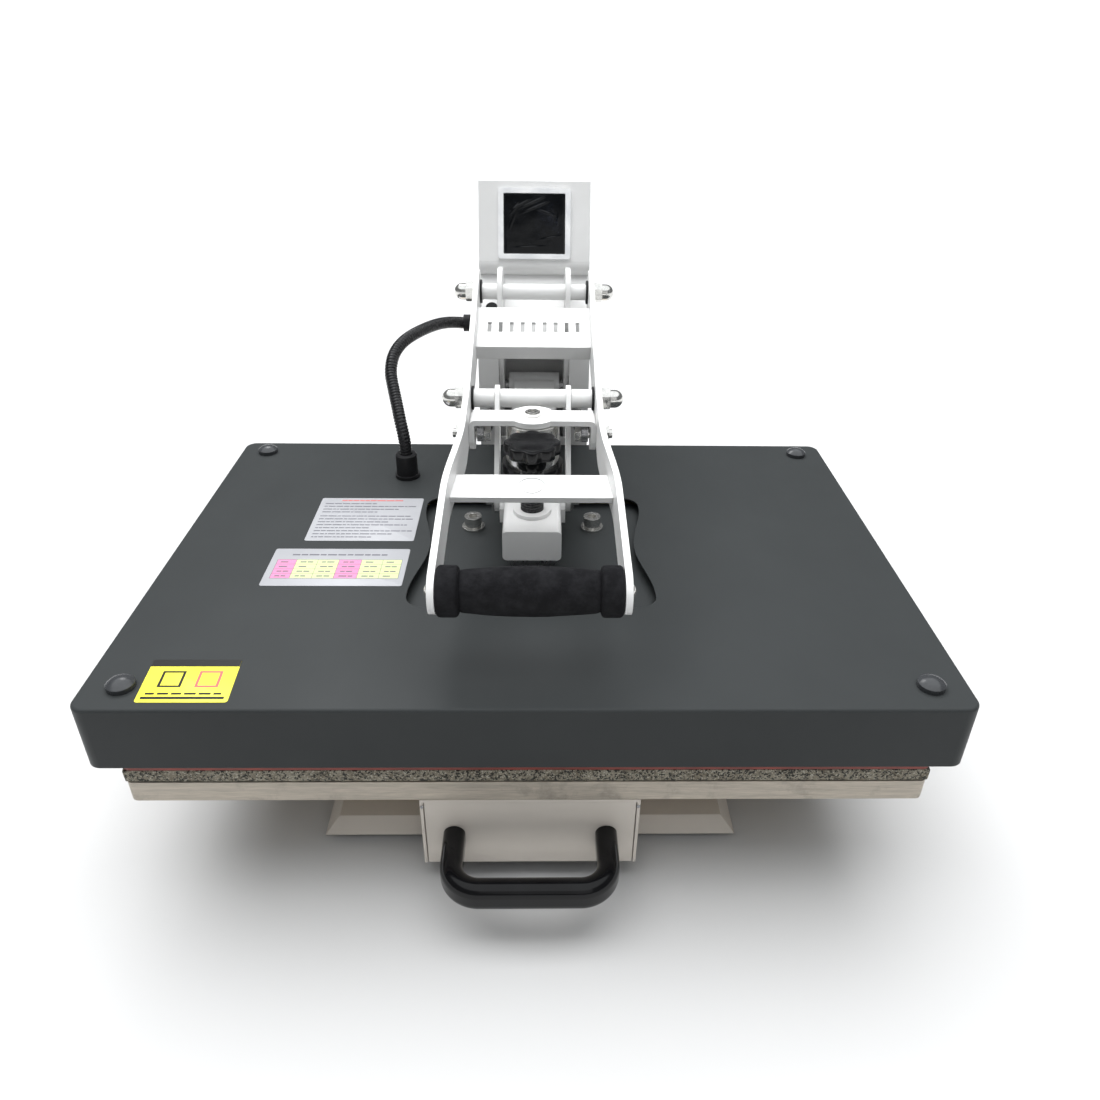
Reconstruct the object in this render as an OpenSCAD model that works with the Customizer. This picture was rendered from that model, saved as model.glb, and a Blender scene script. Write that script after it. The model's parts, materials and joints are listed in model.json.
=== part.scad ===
// Auto-open drawer heat press, 600 x 400 mm platens, closed and latched.
// +Z up, +X to the operator's right, the operator stands on the -Y side.
// Origin: on the bench, at the centre of the whole footprint.
// Every module works from the pressure screw's axis, and on_axis() moves it to the origin.

/* [Platens] */
// Width of both platens (mm)
platen_w = 600; // [560:5:640]
// Depth of both platens (mm)
platen_d = 400; // [380:5:420]
// Thickness of the lower aluminium platen (mm)
lower_t = 18.5; // [16:0.5:20]
// Thickness of the silicone foam pad (mm)
pad_t = 12; // [10:0.5:12]
// Thickness of the cast heating platen (mm)
heater_t = 18; // [14:1:20]

/* [Cover] */
// Width of the head cover (mm)
cover_w = 628; // [614:2:650]
// Depth of the head cover (mm)
cover_d = 437; // [431:1:439]
// Height of the head cover (mm)
cover_h = 53.5; // [50:0.5:56]
// Plan radius of the cover's corners (mm)
cover_r = 11; // [10:1:20]
// Sheet thickness of the cover (mm)
cover_t = 1.5; // [1.2:0.1:2]

/* [Tower] */
// Outside width of the tower shell (mm)
tower_w = 120; // [116:1:124]
// Sheet thickness of the tower (mm)
tower_t = 2.5; // [2:0.1:3]
// Thickness of each cheek plate (mm)
cheek_t = 5; // [4:0.5:5]

/* [Lever] */
// Gap between the lever arms at the pivots (mm)
arm_gap = 113; // [113:0.5:114]
// Gap between the lever arms at the grip (mm)
grip_gap = 130; // [126:1:136]
// Thickness of each lever arm (mm)
arm_t = 5; // [4:0.5:6]
// Largest diameter of the foam grip (mm)
grip_dia = 37; // [32:1:38]

/* [Pressure screw] */
// Diameter of the star knob (mm)
knob_dia = 48; // [44:1:48]
// Number of lobes on the star knob
knob_lobes = 8; // [6:1:10]
// Diameter of the pressure screw (mm)
screw_dia = 20; // [18:1:20]

/* [Base] */
// Width of the base tray at the bottom (mm)
base_w = 345; // [320:5:380]
// Width of the drawer box (mm)
drawer_w = 168; // [164:1:176]
// Spacing of the pull handle's posts (mm)
pull_span = 118; // [100:1:124]
// Outside diameter of the conduit (mm)
conduit_dia = 12.5; // [11:0.5:13]

/* [Hidden] */
$fn = 64;
e = 0.01;
// levels
foot_h = 8;
base_top = 19;
z_drawer = 91;
z_lower = z_drawer + lower_t;
z_pad = z_lower + pad_t;
z_face = z_pad + 0.5;
face_t = 3;
z_heat = z_face + face_t;
z_heat_top = z_heat + heater_t;
z_cov = 194;
cov_y = 2.5;
z_cov_bot = z_cov - cover_h;
z_sup = 178;
sup_t = 6;
// pivots in the Y-Z plane
p1 = [259, 351];
p2 = [95, 297];
p3 = [48, 221];
hp = [280, 240];
gp = [-166, 258];
cb = [-43, 276.5];
sb = [58.5, 278];
sl = [236, 222];
spring_x = 46.5;
// lever and link planes
ax = arm_gap / 2;
gx = grip_gap / 2;
cheek_x = 32.75;
link_x = 30.25;
link_t = 4.5;
beam_top = 230;
beam_bot = 202;
knob_top = 296.2;
keep_z = 290;
mag_y = 60;
face_ang = 21.6;
// the rolled edge under the control face
nose = [317.2, 366.6];
nose_r = 12;
face_len = 83;
tower_top = 450;
// the opening in the tower's back, closed by a screwed panel
back_w = tower_w - 2 * tower_t;
back_z = base_top + 12;
back_h = tower_top - 19 - back_z;
// the screw's axis lies this far in front of the footprint's centre
axis_y = 84.75;
handle_y = -252;
handle_z = 50.2;
cap_x = 285.4;
cap_ys = [-191, 196];
bolt_x = 56;
bolt_y = 52;
boot = [-128.6, 140.3];
gland = [288, 308.8];
// the conduit's route, from inside the gland to inside the boot
route = [[-64, 288, 308.8], [-76, 288, 308.8], [-85, 286.5, 309.7], [-94.5, 280, 311.4],
  [-103.5, 269.5, 312.8], [-112.5, 256.5, 313.2], [-121, 242.5, 312.8], [-128.3, 230.5, 311.6],
  [-134.5, 220, 309.3], [-139.3, 210.8, 305.8], [-142.6, 202.5, 301.3], [-144.3, 194.3, 295.9],
  [-144.6, 185, 287], [-141.5, 174, 276.5], [-137, 160.5, 263.5], [-133, 148.5, 251],
  [-129.8, 142, 238], [-128.6, 140.3, 226], [-128.6, 140.3, 213], [-128.6, 140.3, 200]];
// the route stays close to one sloping plane, whose normal keeps the rings from twisting
plane_n = [0, 0.77, -0.64];
sides = 12;
// the gas spring's eye sits off its bolt at rest, so that the misfit is shared over the travel
eye_off = [-0.214, 1.842];
sv = sb + eye_off - sl;
s_len = norm(sv);
s_ang = atan2(sv[1], sv[0]);
// controller window
win_w = 66;
win_h = 62;

// ---------- helpers ----------
// the press axis frame, moved so that the footprint's centre is the origin
module on_axis() {
  translate([0, -axis_y, 0]) children();
}

// extrude a Y-Z outline along X
module yz(x0, x1) {
  translate([x0, 0, 0]) rotate([90, 0, 90]) linear_extrude(x1 - x0) children();
}
// extrude an X-Z outline along Y
module xz(y0, y1) {
  translate([0, y1, 0]) rotate([90, 0, 0]) linear_extrude(y1 - y0) children();
}
// a cylinder along X
module cx(p, x0, x1, r) {
  translate([x0, p[0], p[1]]) rotate([0, 90, 0]) cylinder(h = x1 - x0, r = r);
}
// a hexagonal prism along X
module hexx(p, x0, x1, af) {
  translate([x0, p[0], p[1]]) rotate([0, 90, 0]) cylinder(h = x1 - x0, r = af / sqrt(3), $fn = 6);
}
module both() {
  children();
  mirror([1, 0, 0]) children();
}
function unit(a) = [cos(a), sin(a)];
// a bar between two circles, tapered, as exact arcs and straight flanks
module bar2(a, ra, b, rb) {
  d = norm(b - a);
  th = atan2(b[1] - a[1], b[0] - a[0]);
  k = acos((ra - rb) / d);
  translate(a) circle(ra);
  translate(b) circle(rb);
  polygon([a + ra * unit(th + k), b + rb * unit(th + k), b + rb * unit(th - k),
    a + ra * unit(th - k)]);
}
// a rounded rectangle centred on the origin
module rrect(w, d, r) {
  square([w - 2 * r, d], center = true);
  square([w, d - 2 * r], center = true);
  for (x = [-1, 1], y = [-1, 1]) translate([x * (w / 2 - r), y * (d / 2 - r)]) circle(r);
}
// a rounded slab whose top edge is rounded too
module pillow(w, d, h, rc, re) {
  linear_extrude(h - re) rrect(w, d, rc);
  linear_extrude(h) rrect(w - 2 * re, d - 2 * re, rc - re);
  for (s = [-1, 1]) {
    translate([-(w / 2 - rc), s * (d / 2 - re), h - re]) rotate([0, 90, 0]) cylinder(h = w - 2 * rc, r = re);
    translate([s * (w / 2 - re), d / 2 - rc, h - re]) rotate([90, 0, 0]) cylinder(h = d - 2 * rc, r = re);
  }
  for (k = [0 : 3]) {
    sx = (k == 0 || k == 3) ? 1 : -1;
    sy = k < 2 ? 1 : -1;
    translate([sx * (w / 2 - rc), sy * (d / 2 - rc), h - re]) rotate([0, 0, 90 * k])
      rotate_extrude(angle = 90) translate([rc - re, 0]) circle(re);
  }
}
// a plan frame with sloping sides, mitred at the corners
module frustum(x0, x1, y0, y1, z0, z1, s) {
  intersection() {
    xz(y0, y1) polygon([[x0, z0], [x1, z0], [x1 - s, z1], [x0 + s, z1]]);
    yz(x0, x1) polygon([[y0, z0], [y1, z0], [y1 - s, z1], [y0 + s, z1]]);
  }
}
// a domed cap nut along +X from x0
module cap_nut(p, x0, af) {
  hexx(p, x0, x0 + 9, af);
  cx(p, x0 + 8, x0 + 13, af * 0.46);
  translate([x0 + 13, p[0], p[1]]) sphere(af * 0.46);
}

// ---------- base ----------
module base_tray() {
  on_axis() color([0.86, 0.84, 0.8]) difference() {
    frustum(-base_w / 2, base_w / 2, -161.5, 430, foot_h, base_top, base_top - foot_h);
    frustum(-base_w / 2 + 3.5, base_w / 2 - 3.5, -158, 426.5, foot_h - 2, base_top - 2.5, 10.5);
  }
}

module rubber_feet() {
  on_axis() color([0.08, 0.08, 0.08]) for (x = [-140, 140], y = [-130, 120, 395])
    translate([x, y, 0]) {
      cylinder(h = foot_h - 1, r = 15);
      cylinder(h = base_top - 2.6, r = 11);
    }
}

module guide_rails() {
  on_axis() color([0.75, 0.75, 0.77]) both() xz(-150, 232) difference() {
    translate([56, base_top]) square([20, 66]);
    translate([59, base_top + 3]) square([20, 18]);
    translate([59, base_top + 24]) square([20, 39]);
  }
}

// side outline of the tower shell, its walls moved in by i
module shell_outline(i) {
  r = nose_r - i;
  out = [-cos(face_ang), sin(face_ang)];
  low = nose + r * out;
  high = low + (face_len - 0.2 * i) * [sin(face_ang), cos(face_ang)];
  bottom = base_top - (i > 0 ? 1 : 0);
  polygon([[244 + i, bottom], [244 + i, 290 - 0.4 * i], [318, 361 - 1.4 * i], nose, low, high,
    [340 + 0.3 * i, tower_top - i], [361 - 0.3 * i, tower_top - i],
    [400 - i, tower_top - 14 - 0.6 * i], [400 - i, bottom]]);
  translate(nose) circle(r);
}

module tower_shell() {
  on_axis() color([0.95, 0.95, 0.95]) difference() {
    yz(-tower_w / 2, tower_w / 2) shell_outline(0);
    yz(-tower_w / 2 + tower_t, tower_w / 2 - tower_t) shell_outline(tower_t);
    // mouth for the beam
    translate([-cheek_x - cheek_t - 0.2, 230, 192]) cube([2 * (cheek_x + cheek_t) + 0.4, 30, 100]);
    // slots for the cheeks in the sloping face
    both() translate([cheek_x - 0.2, 240, 280]) cube([cheek_t + 0.4, 66, 71]);
    // controller window
    on_face() cube([win_w + 4, 40, win_h + 4], center = true);
    // gland hole
    cx(gland, -70, -50, 8);
    // plug hole
    at_plug() cylinder(h = 20, r = 5, center = true);
    // open back
    translate([-back_w / 2, 390, back_z]) cube([back_w, 20, back_h]);
    // vents in both sides
    for (k = [0 : 5]) translate([-80, 345, 60 + 12 * k]) cube([160, 34, 4]);
    // spring mount holes
    both() translate([spring_x - 3, 235, sl[1] - 8.2]) cube([6, 20, 16.4]);
  }
}

module tower_back() {
  on_axis() color([0.95, 0.95, 0.95]) difference() {
    translate([-back_w / 2 + 0.2, 397, back_z + 0.2]) cube([back_w - 0.4, 2, back_h - 0.4]);
    translate([-25, 390, 60]) cube([50, 20, 60]);
    for (k = [0 : 7]) translate([-35, 390, 300 + 12 * k]) cube([70, 20, 5]);
  }
}

module cheek2d() {
  difference() {
    union() {
      bar2(p1, 24, [268, 300], 26);
      bar2([268, 300], 26, hp, 22);
      polygon([[258, 240], [258, base_top], [350, base_top], [350, 300], [280, 372], [250, 300]]);
    }
    translate(p1) circle(6.05);
    translate(hp) circle(7.05);
  }
}

module tower_frame() {
  on_axis() color([0.93, 0.93, 0.93]) {
    both() yz(cheek_x, cheek_x + cheek_t) cheek2d();
    translate([-cheek_x - e, 318, 60]) cube([2 * cheek_x + 2 * e, 3, 230]);
    translate([0, 318.1, 262]) rotate([90, 0, 0]) cylinder(h = 2, r = 3);
  }
}

module pin1_shaft() {
  on_axis() color([0.7, 0.7, 0.72]) cx(p1, -72, 72, 6);
}

module pin1_spacers() {
  on_axis() color([0.95, 0.95, 0.95]) {
    difference() {
      cx(p1, -cheek_x, cheek_x, 8);
      cx(p1, -60, 60, 6.02);
    }
    both() difference() {
      cx(p1, cheek_x + cheek_t, ax - 2.3, 8);
      cx(p1, 0, 60, 6.02);
    }
  }
}

module pin1_nuts() {
  on_axis() color([0.8, 0.8, 0.82]) both() difference() {
    union() {
      cap_nut(p1, ax + arm_t + 0.8, 18);
      cx(p1, ax + arm_t + 0.3, ax + arm_t + 1.3, 11);
    }
    cx(p1, 40, 72.05, 6.02);
  }
}

module hinge_shaft() {
  on_axis() color([0.7, 0.7, 0.72]) {
    cx(hp, -42, 42, 7);
    both() cx(hp, cheek_x + cheek_t + 0.1, 42, 11);
  }
}

module spring_mounts() {
  on_axis() color([0.2, 0.2, 0.2]) both() {
    difference() {
      yz(spring_x - 2, spring_x + 2) {
        bar2([252, 222], 8, sl, 7);
      }
      cx(sl, 0, 100, 4.05);
    }
    difference() {
      cx(sl, spring_x - 7.5, spring_x + 7.5, 4);
      cx(sl, spring_x + 5.5, spring_x + 9, 1.5);
    }
  }
}

// ---------- controls ----------
// on the control face: +Z runs up the face, -Y stands out of it
module on_face() {
  translate([0, nose[0], nose[1]]) rotate([-face_ang, 0, 0]) translate([0, -nose_r, 39]) children();
}
// on the slope in front of the cavity: +Z stands out of it
module at_plug() {
  translate([-46, 282, 326.5]) rotate([43.8, 0, 0]) children();
}

module controller_case() {
  on_axis() color([0.12, 0.12, 0.13]) on_face() translate([-win_w / 2, 3.2, -win_h / 2])
    cube([win_w, 34, win_h]);
}

module controller_bezel() {
  on_axis() color([0.93, 0.94, 0.95]) on_face() difference() {
    union() {
      translate([0, -0.05, 0]) rotate([90, 0, 0]) linear_extrude(2.75) rrect(78, 73, 3);
      translate([0, 2.6, 0]) rotate([90, 0, 0]) linear_extrude(2.75)
        square([win_w + 3.6, win_h + 3.6], center = true);
    }
    translate([0, 4, 0]) rotate([90, 0, 0]) linear_extrude(8)
      square([win_w + 0.4, win_h + 0.4], center = true);
  }
}

module controller_screen() {
  on_axis() color([0.03, 0.03, 0.04]) on_face() translate([0, 3, 0]) rotate([90, 0, 0])
    linear_extrude(4.6) rrect(win_w, win_h, 1.5);
}

module cable_fittings() {
  on_axis() color([0.05, 0.05, 0.05]) {
    gland_body();
    at_plug() {
      translate([0, 0, 0.1]) cylinder(h = 2, r = 6.6);
      translate([0, 0, -5]) cylinder(h = 5.5, r = 4.7);
    }
  }
}

module gland_body() {
  difference() {
    union() {
      cx(gland, -tower_w / 2 - 5, -tower_w / 2, 10);
      cx(gland, -tower_w / 2 - 17.5, -tower_w / 2 - 5, 9);
      cx(gland, -tower_w / 2, -tower_w / 2 + 5, 7.9);
      hexx(gland, -tower_w / 2 + tower_t, -tower_w / 2 + tower_t + 4, 19);
    }
    cx(gland, -90, -40, conduit_dia / 2 + 0.3);
  }
}

module power_inlet() {
  on_axis() color([0.06, 0.06, 0.06]) {
    difference() {
      union() {
        translate([-27, 399, 58]) cube([54, 3, 64]);
        translate([-24.8, 372, 60.2]) cube([49.6, 28, 59.6]);
      }
      translate([-12, 384, 64]) cube([24, 20, 17]);
      translate([-16, 390, 90.5]) cube([32, 20, 25]);
    }
    for (x = [-7, 0, 7]) translate([x - 1, 383, 68]) cube([2, 14, 6]);
  }
}

module power_switch() {
  on_axis() color([0.6, 0.05, 0.05]) {
    intersection() {
      yz(-14, 14) polygon([[392.5, 101], [394, 92.5], [402.5, 92], [401, 103], [403.5, 113.5], [394, 113]]);
      translate([-14, 380, 92]) cube([28, 40, 22]);
    }
    cx([396, 103], -15.5, 15.5, 1.5);
  }
}

module solid_state_relay() {
  on_axis() color([0.85, 0.85, 0.82]) difference() {
    translate([-22, 368, 180]) cube([44, 28.8, 58]);
    for (z = [186, 232]) translate([0, 380, z]) rotate([90, 0, 0]) cylinder(h = 14, r = 4);
  }
}

// ---------- beam and magnet ----------
module beam() {
  on_axis() color([0.95, 0.95, 0.95]) {
    difference() {
      union() {
        xz(-36, 275) translate([0, (beam_top + beam_bot) / 2]) rrect(50, beam_top - beam_bot, 4);
        translate([0, 0, beam_top - 1]) cylinder(h = 4.5, r = 16.5);
      }
      translate([-22, -33, beam_bot + 3]) cube([44, 312, beam_top - beam_bot - 6]);
      translate([0, 0, 150]) cylinder(h = 100, r = screw_dia / 2 + 0.08);
      cx(p3, -40, 40, 6.04);
    }
    // lugs for the link pin
    both() difference() {
      yz(25, 29.75) {
        bar2(p3, 13, [40, 214], 12);
        translate([28, 203]) square([24, 14]);
      }
      cx(p3, 0, 40, 6.04);
    }
    // rear knuckle
    difference() {
      union() {
        cx(hp, -28, 28, 15);
        yz(-22, 22) polygon([[240, 229], [255, 229], [282, 229], [275, 252], [266, 250]]);
      }
      cx(hp, -40, 40, 7.06);
    }
  }
}

module magnet_mount() {
  on_axis() color([0.04, 0.04, 0.04]) translate([0, mag_y, beam_top]) {
    cylinder(h = 12.5, r = 23);
    translate([0, 0, 12]) difference() {
      cylinder(h = 8, r = 28);
      translate([0, 0, 1]) cylinder(h = 8, r = 24.1);
    }
  }
}

module electromagnet() {
  on_axis() color([0.78, 0.78, 0.8]) translate([0, mag_y, beam_top + 13.1]) difference() {
    cylinder(h = keep_z - 0.4 - beam_top - 13.1, r = 24);
    translate([0, 0, keep_z - 7 - beam_top - 13.1]) cylinder(h = 20, r = 5);
  }
}

module pin3_shaft() {
  on_axis() color([0.7, 0.7, 0.72]) cx(p3, -43, 43, 6);
}

module pin3_nuts() {
  on_axis() color([0.8, 0.8, 0.82]) both() difference() {
    union() {
      cx(p3, link_x + link_t + 0.5, link_x + link_t + 2.3, 14);
      hexx(p3, link_x + link_t + 2.3, link_x + link_t + 8, 18);
    }
    cx(p3, 30, 43.05, 6.02);
  }
}

// ---------- head ----------
function half_w(y) = 96.5 - 5.5 * cos(360 * y / 150);
function lobe(y) = abs(y) <= 78 ? half_w(y) : half_w(78) - 16 + sqrt(max(0, 256 - pow(abs(y) - 78, 2)));
module mouth2d() {
  n = 47;
  polygon(concat([for (i = [-n : n]) [lobe(i * 2), i * 2]], [for (i = [-n : n]) [-lobe(-i * 2), -i * 2]]));
}

module cover() {
  on_axis() color([0.33, 0.34, 0.35]) difference() {
    translate([0, cov_y, z_cov_bot]) pillow(cover_w, cover_d, cover_h, cover_r, 2.5);
    translate([0, cov_y, z_cov_bot - 1]) linear_extrude(cover_h + 1 - cover_t)
      rrect(cover_w - 2 * cover_t, cover_d - 2 * cover_t, cover_r - cover_t);
    translate([0, 0, z_cov - 10]) linear_extrude(20) mouth2d();
    for (x = [-cap_x, cap_x], y = cap_ys) translate([x, y, 150]) cylinder(h = 60, r = 3.2);
    translate([boot[0], boot[1], 150]) cylinder(h = 60, r = 8.2);
  }
}

module support_plate() {
  on_axis() color([0.3, 0.31, 0.32]) difference() {
    translate([0, 0, z_sup]) linear_extrude(sup_t) difference() {
      rrect(214, 200, 12);
      for (x = [-bolt_x, bolt_x], y = [-bolt_y, bolt_y]) translate([x, y]) circle(5.3);
    }
    translate([0, 0, z_sup - 1]) cylinder(h = 20, r = 14.3);
  }
}

module insulation() {
  on_axis() color([0.85, 0.8, 0.62]) translate([0, 0, z_heat_top]) linear_extrude(18) difference() {
    square([platen_w - 60, platen_d - 40], center = true);
    for (x = [-bolt_x, bolt_x], y = [-bolt_y, bolt_y]) translate([x, y]) circle(13);
    translate(boot) circle(12);
  }
}

module heating_platen() {
  on_axis() color([0.72, 0.72, 0.7]) {
    translate([0, 0, z_heat]) linear_extrude(heater_t) rrect(platen_w, platen_d, 7);
    for (x = [-bolt_x, bolt_x], y = [-bolt_y, bolt_y]) translate([x, y, z_heat_top - 1]) difference() {
      cylinder(h = z_sup - z_heat_top + 1, r = 12);
      translate([0, 0, 8]) cylinder(h = 60, r = 5.05);
    }
    for (x = [-cap_x, cap_x], y = cap_ys) translate([x, y, z_heat_top - 1]) difference() {
      cylinder(h = z_cov - cover_t - z_heat_top + 0.9, r = 4);
      translate([0, 0, 20]) cylinder(h = 60, r = 2.6);
    }
  }
}

module platen_facing() {
  on_axis() color([0.4, 0.06, 0.04]) translate([0, 0, z_face]) linear_extrude(face_t)
    rrect(platen_w, platen_d, 7);
}

module corner_caps() {
  on_axis() color([0.15, 0.16, 0.17]) for (x = [-cap_x, cap_x], y = cap_ys) translate([x, y, z_cov]) {
    cylinder(h = 2.4, r = 10);
    intersection() {
      translate([0, 0, -6]) sphere(13.9);
      translate([0, 0, 2]) cylinder(h = 10, r = 10);
    }
    translate([0, 0, -22]) cylinder(h = 22.5, r = 2.5);
  }
}

module head_bolts() {
  on_axis() color([0.8, 0.8, 0.82])
    for (x = [-bolt_x, bolt_x], y = [-bolt_y, bolt_y]) translate([x, y, z_sup + sup_t]) {
    difference() {
      union() {
        translate([0, 0, 2.7]) cylinder(h = 10, r = 8);
        translate([0, 0, -24]) cylinder(h = 27, r = 5);
      }
      translate([0, 0, 7.7]) cylinder(h = 6, r = 4.6, $fn = 6);
    }
    difference() {
      cylinder(h = 2.5, r = 10.5);
      translate([0, 0, -1]) cylinder(h = 5, r = 5.2);
    }
  }
}

module thrust_socket() {
  on_axis() color([0.25, 0.25, 0.26]) difference() {
    union() {
      translate([0, 0, z_sup + sup_t]) cylinder(h = 11.5, r = 23);
      translate([0, 0, z_sup + 0.5]) cylinder(h = 7, r = 14);
    }
    translate([0, 0, z_sup + 2]) cylinder(h = 7.2, r = 12.4);
    translate([0, 0, z_sup + 8]) cylinder(h = 20, r = screw_dia / 2 + 0.3);
  }
}

module sticker(x0, x1, y0, y1, skew) {
  translate([0, 0, z_cov + 0.05]) linear_extrude(0.3)
    polygon([[x0, y0], [x1, y0], [x1 + skew, y1], [x0 + skew, y1]]);
}

module label_notes() {
  on_axis() color([0.85, 0.86, 0.9]) sticker(-204.5, -106.5, 9, 90.5, 0);
}

module label_table() {
  on_axis() color([0.85, 0.85, 0.9]) sticker(-225, -107.5, -64, -5, 0);
}

module label_caution() {
  on_axis() color([0.95, 0.9, 0.2]) sticker(-270.5, -207, -208, -161.5, -3);
}

module conduit_boot() {
  on_axis() color([0.04, 0.04, 0.04]) translate([boot[0], boot[1], z_cov]) difference() {
    union() {
      cylinder(h = 3.5, r = 12.3);
      cylinder(h = 24.5, r = 10.7);
      translate([0, 0, 24.5]) cylinder(h = 1.5, r1 = 10.7, r2 = 9.2);
      translate([0, 0, -6]) cylinder(h = 7, r = 8);
    }
    translate([0, 0, -10]) cylinder(h = 50, r = conduit_dia / 2 + 0.4);
  }
}

// ---------- screw ----------
module knob() {
  star_h = 10.5;
  edge = 1.5;
  on_axis() color([0.03, 0.03, 0.03]) difference() {
    union() {
      intersection() {
        translate([0, 0, knob_top - star_h]) linear_extrude(star_h) difference() {
          circle(knob_dia / 2);
          for (k = [0 : knob_lobes - 1]) rotate(360 * (k + 0.5) / knob_lobes)
            translate([knob_dia / 2 + 3.2, 0]) circle(6);
        }
        rotate_extrude() {
          translate([0, knob_top - star_h]) square([knob_dia / 2 - edge, star_h]);
          translate([0, knob_top - star_h + edge]) square([knob_dia / 2, star_h - 2 * edge]);
          translate([knob_dia / 2 - edge, knob_top - edge]) circle(edge);
        }
      }
      translate([0, 0, knob_top - 23]) cylinder(h = 13, r = 13);
    }
    translate([0, 0, knob_top - 24]) cylinder(h = 18, r = screw_dia / 2 + 0.01);
  }
}

module pressure_screw() {
  on_axis() color([0.05, 0.05, 0.05]) {
    translate([0, 0, z_sup + 2.5]) cylinder(h = knob_top - 6.2 - z_sup - 2.5, r = screw_dia / 2);
    translate([0, 0, z_sup + 2.5]) cylinder(h = 5, r = 12);
  }
}

// ---------- lever ----------
// plan ribbon of one arm, with the S bend
bend_0 = 24;
bend_1 = -72;
function s_x(y) = y >= bend_0 ? 0 : (y <= bend_1 ? 1 :
  (1 + cos(180 * (y - bend_1) / (bend_0 - bend_1))) / 2);
bend_ys = [300, for (i = [0 : 24]) bend_0 + (bend_1 - bend_0) * i / 24, -200];
// plan line offset outwards from the right arm's inner face
function arm_line(off) = [for (y = bend_ys) [ax + (gx - ax) * s_x(y) + off, y]];
function back(line) = [for (i = [len(line) - 1 : -1 : 0]) line[i]];
function flip(line) = [for (p = line) [-p[0], p[1]]];
module ribbon2d() {
  polygon(concat(arm_line(0), back(arm_line(arm_t))));
}
// plan area between the arms
module between2d() {
  polygon(concat(arm_line(-0.05), back(flip(arm_line(-0.05)))));
}

module lever_arms() {
  on_axis() color([0.96, 0.96, 0.96]) both() difference() {
    intersection() {
      translate([0, 0, 200]) linear_extrude(220) ribbon2d();
      yz(40, 90) {
        bar2(p1, 22, p2, 20);
        bar2(p2, 20, cb, 17);
        bar2(cb, 17, gp, 16);
      }
    }
    cx(p1, 40, 90, 6.05);
    cx(p2, 40, 90, 6.02);
    cx(sb, 40, 90, 4.02);
    cx(gp, 40, 90, 4.02);
  }
}

// a strip lying along a slope: o is its rear edge, a the slope below level
module on_slope(o, a) {
  translate([0, o[0], o[1]]) rotate([a, 0, 0]) children();
}

module cross_plate() {
  on_axis() color([0.96, 0.96, 0.96]) on_slope([221, 345], 26) difference() {
    translate([-ax + 0.05, -56, -16]) cube([arm_gap - 0.1, 56, 16]);
    translate([-ax - 1, -53, -20]) cube([arm_gap + 2, 50, 17]);
    for (k = [-4 : 4]) translate([k * 11 - 2, -35, -5]) cube([4, 14, 10]);
  }
}

module crossbar() {
  on_axis() color([0.96, 0.96, 0.96]) intersection() {
    on_slope([-28, 279.2], 10.4) difference() {
      translate([-gx, -30, -5]) cube([grip_gap, 30, 5]);
      translate([0, -15, -0.8]) difference() {
        cylinder(h = 2, r = 11.2);
        translate([0, 0, -1]) cylinder(h = 4, r = 8.6);
      }
    }
    translate([0, 0, 200]) linear_extrude(150) between2d();
  }
}

// half width w, top z, corner radius r: a bent strip's outline down to z_low
module arch2d(w, z, r, z_low) {
  translate([-w, z_low]) square([2 * w, z - r - z_low]);
  translate([-w + r, z_low]) square([2 * (w - r), z - z_low]);
  for (s = [-1, 1]) translate([s * (w - r), z - r]) circle(r);
}

module keeper_bracket() {
  w = ax - 0.1;
  on_axis() color([0.96, 0.96, 0.96]) difference() {
    union() {
      xz(46, 71) difference() {
        arch2d(w, keep_z + 5, 6.5, 274);
        arch2d(w - 5, keep_z, 1.5, 260);
      }
      translate([0, mag_y, keep_z]) cylinder(h = 5, r = 21);
      both() cx([sb[0], 276], w - 5, w, 12.5);
    }
    translate([0, mag_y, 280]) cylinder(h = 20, r = 5.1);
    cx(sb, -70, 70, 4.02);
  }
}

module keeper_bolts() {
  on_axis() color([0.8, 0.8, 0.82]) {
    difference() {
      translate([0, mag_y, keep_z + 0.3]) cylinder(h = 8.7, r = 4.95);
      translate([0, mag_y, keep_z + 6]) cylinder(h = 5, r = 3, $fn = 6);
    }
    difference() {
      translate([0, mag_y, keep_z + 5.1]) cylinder(h = 3, r = 7);
      translate([0, mag_y, keep_z]) cylinder(h = 10, r = 4.9);
    }
    both() {
      cx(sb, 37.5, ax + arm_t + 10, 4);
      difference() {
        union() {
          hexx(sb, ax + arm_t + 0.5, ax + arm_t + 7, 13);
          hexx(sb, 37.9, 42.2, 13);
          cx(sb, 42.1, 43, 7.6);
        }
        cx(sb, 30, 80, 3.99);
      }
    }
  }
}

module pin2_shaft() {
  on_axis() color([0.7, 0.7, 0.72]) cx(p2, -72, 72, 6);
}

module pin2_spacers() {
  on_axis() color([0.95, 0.95, 0.95]) both() difference() {
    cx(p2, link_x + link_t + 0.4, ax - 2.3, 8.5);
    cx(p2, 0, 60, 6.02);
  }
}

module pin2_nuts() {
  on_axis() color([0.8, 0.8, 0.82]) both() difference() {
    union() {
      cap_nut(p2, ax + arm_t + 0.8, 18);
      cx(p2, ax + arm_t + 0.05, ax + arm_t + 1.3, 11);
    }
    cx(p2, 40, 72.05, 6.02);
  }
}

module grip_core() {
  on_axis() color([0.75, 0.75, 0.77]) difference() {
    cx(gp, -gx + 0.1, gx - 0.1, 11);
    cx(gp, -gx - 1, -gx + 22, 4.02);
    cx(gp, gx - 22, gx + 1, 4.02);
  }
}

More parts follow.
